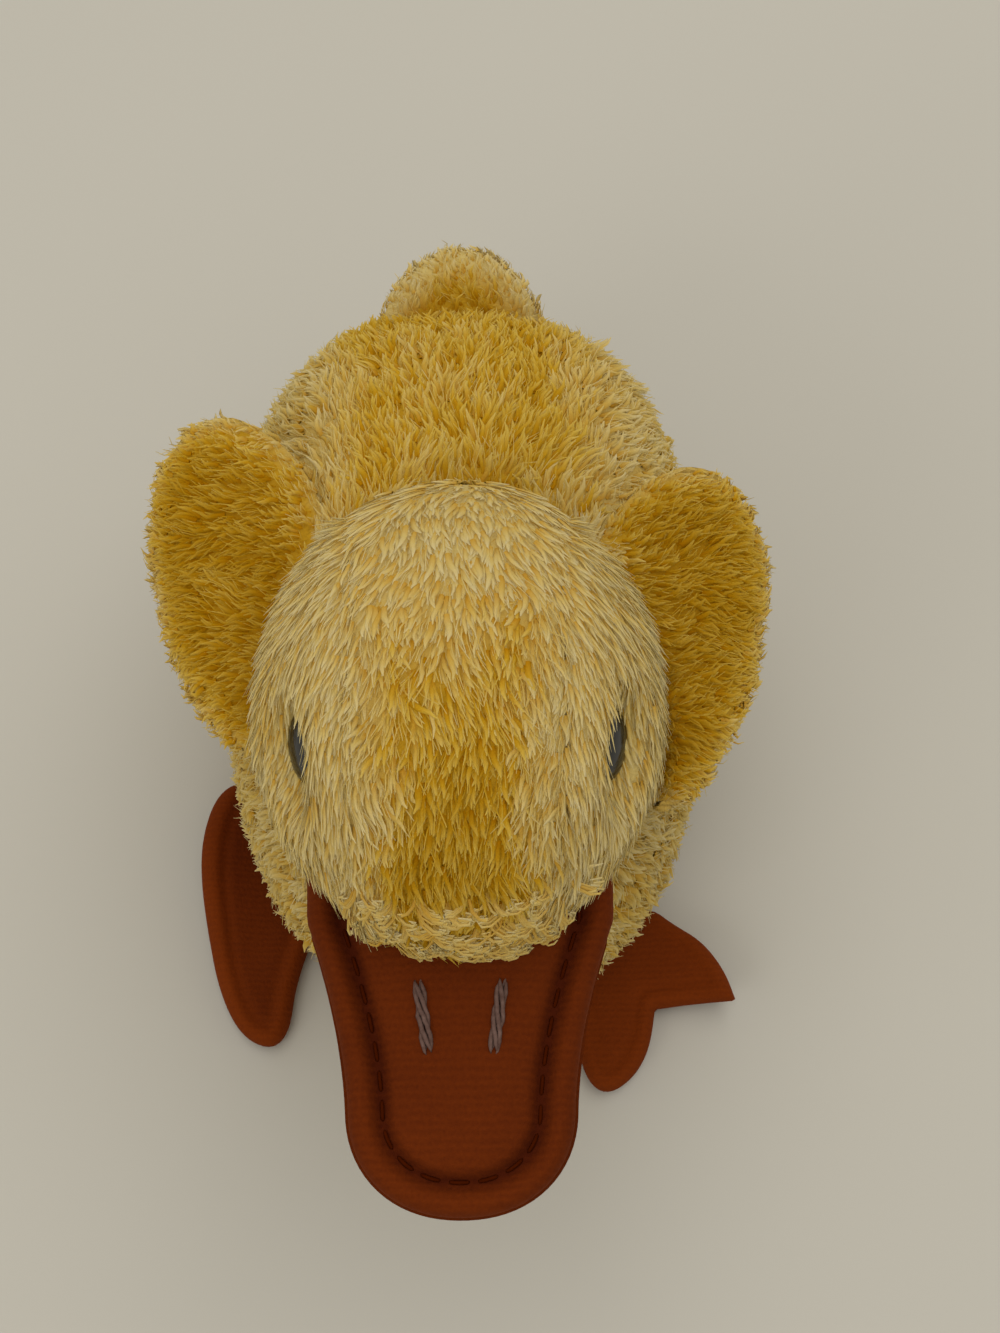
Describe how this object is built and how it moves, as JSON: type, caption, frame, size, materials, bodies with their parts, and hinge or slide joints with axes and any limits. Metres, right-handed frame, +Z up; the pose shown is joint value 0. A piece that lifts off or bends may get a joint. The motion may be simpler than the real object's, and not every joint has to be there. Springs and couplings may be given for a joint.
{
  "type": "duckling finger puppet",
  "caption": "Plush duckling finger puppet with a flat velour bill, flap wings, webbed feet, and a lined hollow that takes a finger from the base up into the head.",
  "frame": {"origin": "on the flat base, under the middle of the body", "axes": "+Z up, -Y the way the duckling faces, +X to the duckling's own left"},
  "size_m": [0.0708, 0.1174, 0.084],
  "materials": {
    "golden_plush": "long curly pile, golden at the root and pale at the tip",
    "pale_plush": "long combed pile, pale yellow",
    "rust_velour": "short velour with a fine cross rib",
    "lining": "plain knit",
    "stuffing": "loose polyester fibre",
    "interlining": "pressed felt",
    "rust_thread": "spun sewing thread",
    "nostril_thread": "satin embroidery thread",
    "eye_plastic": "polished black",
    "washer_plastic": "natural moulded"
  },
  "bodies": {
    "torso": {"belly_panel": "golden_plush", "back_panel": "golden_plush", "left_side_panel": "pale_plush", "right_side_panel": "pale_plush", "body_stuffing": "stuffing", "finger_sleeve": "lining", "opening_hem": "lining"},
    "neck": {"neck_collar": "pale_plush", "neck_sleeve": "lining"},
    "head": {"head_gusset": "golden_plush", "head_left_panel": "pale_plush", "head_right_panel": "pale_plush", "head_stuffing": "stuffing", "fingertip_pocket": "lining", "eye_left": "eye_plastic", "eye_washer_left": "washer_plastic", "eye_right": "eye_plastic", "eye_washer_right": "washer_plastic"},
    "bill": {"bill_top": "rust_velour", "bill_underside": "rust_velour", "bill_insert": "interlining", "bill_topstitch": "rust_thread", "nostril_stitch_left": "nostril_thread", "nostril_stitch_right": "nostril_thread"},
    "left_wing": {"left_wing_top": "golden_plush", "left_wing_under": "golden_plush"},
    "right_wing": {"right_wing_top": "golden_plush", "right_wing_under": "golden_plush"},
    "tail": {"tail_top": "golden_plush", "tail_under": "golden_plush"},
    "left_foot": {"left_foot_sole": "rust_velour", "left_foot_top": "rust_velour"},
    "right_foot": {"right_foot_sole": "rust_velour", "right_foot_top": "rust_velour"}
  },
  "joints": [
    {"name": "neck_nod", "type": "hinge", "parent": "torso", "child": "neck", "pos_m": [0, -0.01861, 0.042], "axis": [1, 0, 0], "range_deg": [-15, 15], "stiffness_Nm_per_rad": 0.08},
    {"name": "neck_turn", "type": "hinge", "parent": "neck", "child": "head", "pos_m": [0, -0.01861, 0.042], "axis": [0, 0, 1], "range_deg": [-25, 25], "stiffness_Nm_per_rad": 0.05},
    {"name": "bill_flex", "type": "hinge", "parent": "head", "child": "bill", "pos_m": [0, -0.04886, 0.055], "axis": [1, 0, 0], "range_deg": [-20, 20], "stiffness_Nm_per_rad": 0.01},
    {"name": "left_wing_flap", "type": "hinge", "parent": "torso", "child": "left_wing", "pos_m": [0.01984, -0.0135, 0.047], "axis": [0, -0.9816, -0.1908], "range_deg": [-15, 40], "stiffness_Nm_per_rad": 0.01},
    {"name": "right_wing_flap", "type": "hinge", "parent": "torso", "child": "right_wing", "pos_m": [-0.0208, -0.0065, 0.047], "axis": [0, 0.9816, 0.1908], "range_deg": [-15, 40], "stiffness_Nm_per_rad": 0.01},
    {"name": "tail_flick", "type": "hinge", "parent": "torso", "child": "tail", "pos_m": [0, 0.03573, 0.04], "axis": [1, 0, 0], "range_deg": [-20, 20], "stiffness_Nm_per_rad": 0.01},
    {"name": "left_foot_fold", "type": "hinge", "parent": "torso", "child": "left_foot", "pos_m": [0.017, -0.03404, 0.00165], "axis": [-0.9986, -0.0523, 0], "range_deg": [-15, 45], "stiffness_Nm_per_rad": 0.006},
    {"name": "right_foot_fold", "type": "hinge", "parent": "torso", "child": "right_foot", "pos_m": [-0.0225, -0.0276, 0.00165], "axis": [-0.9877, 0.1564, 0], "range_deg": [-15, 45], "stiffness_Nm_per_rad": 0.006}
  ]
}
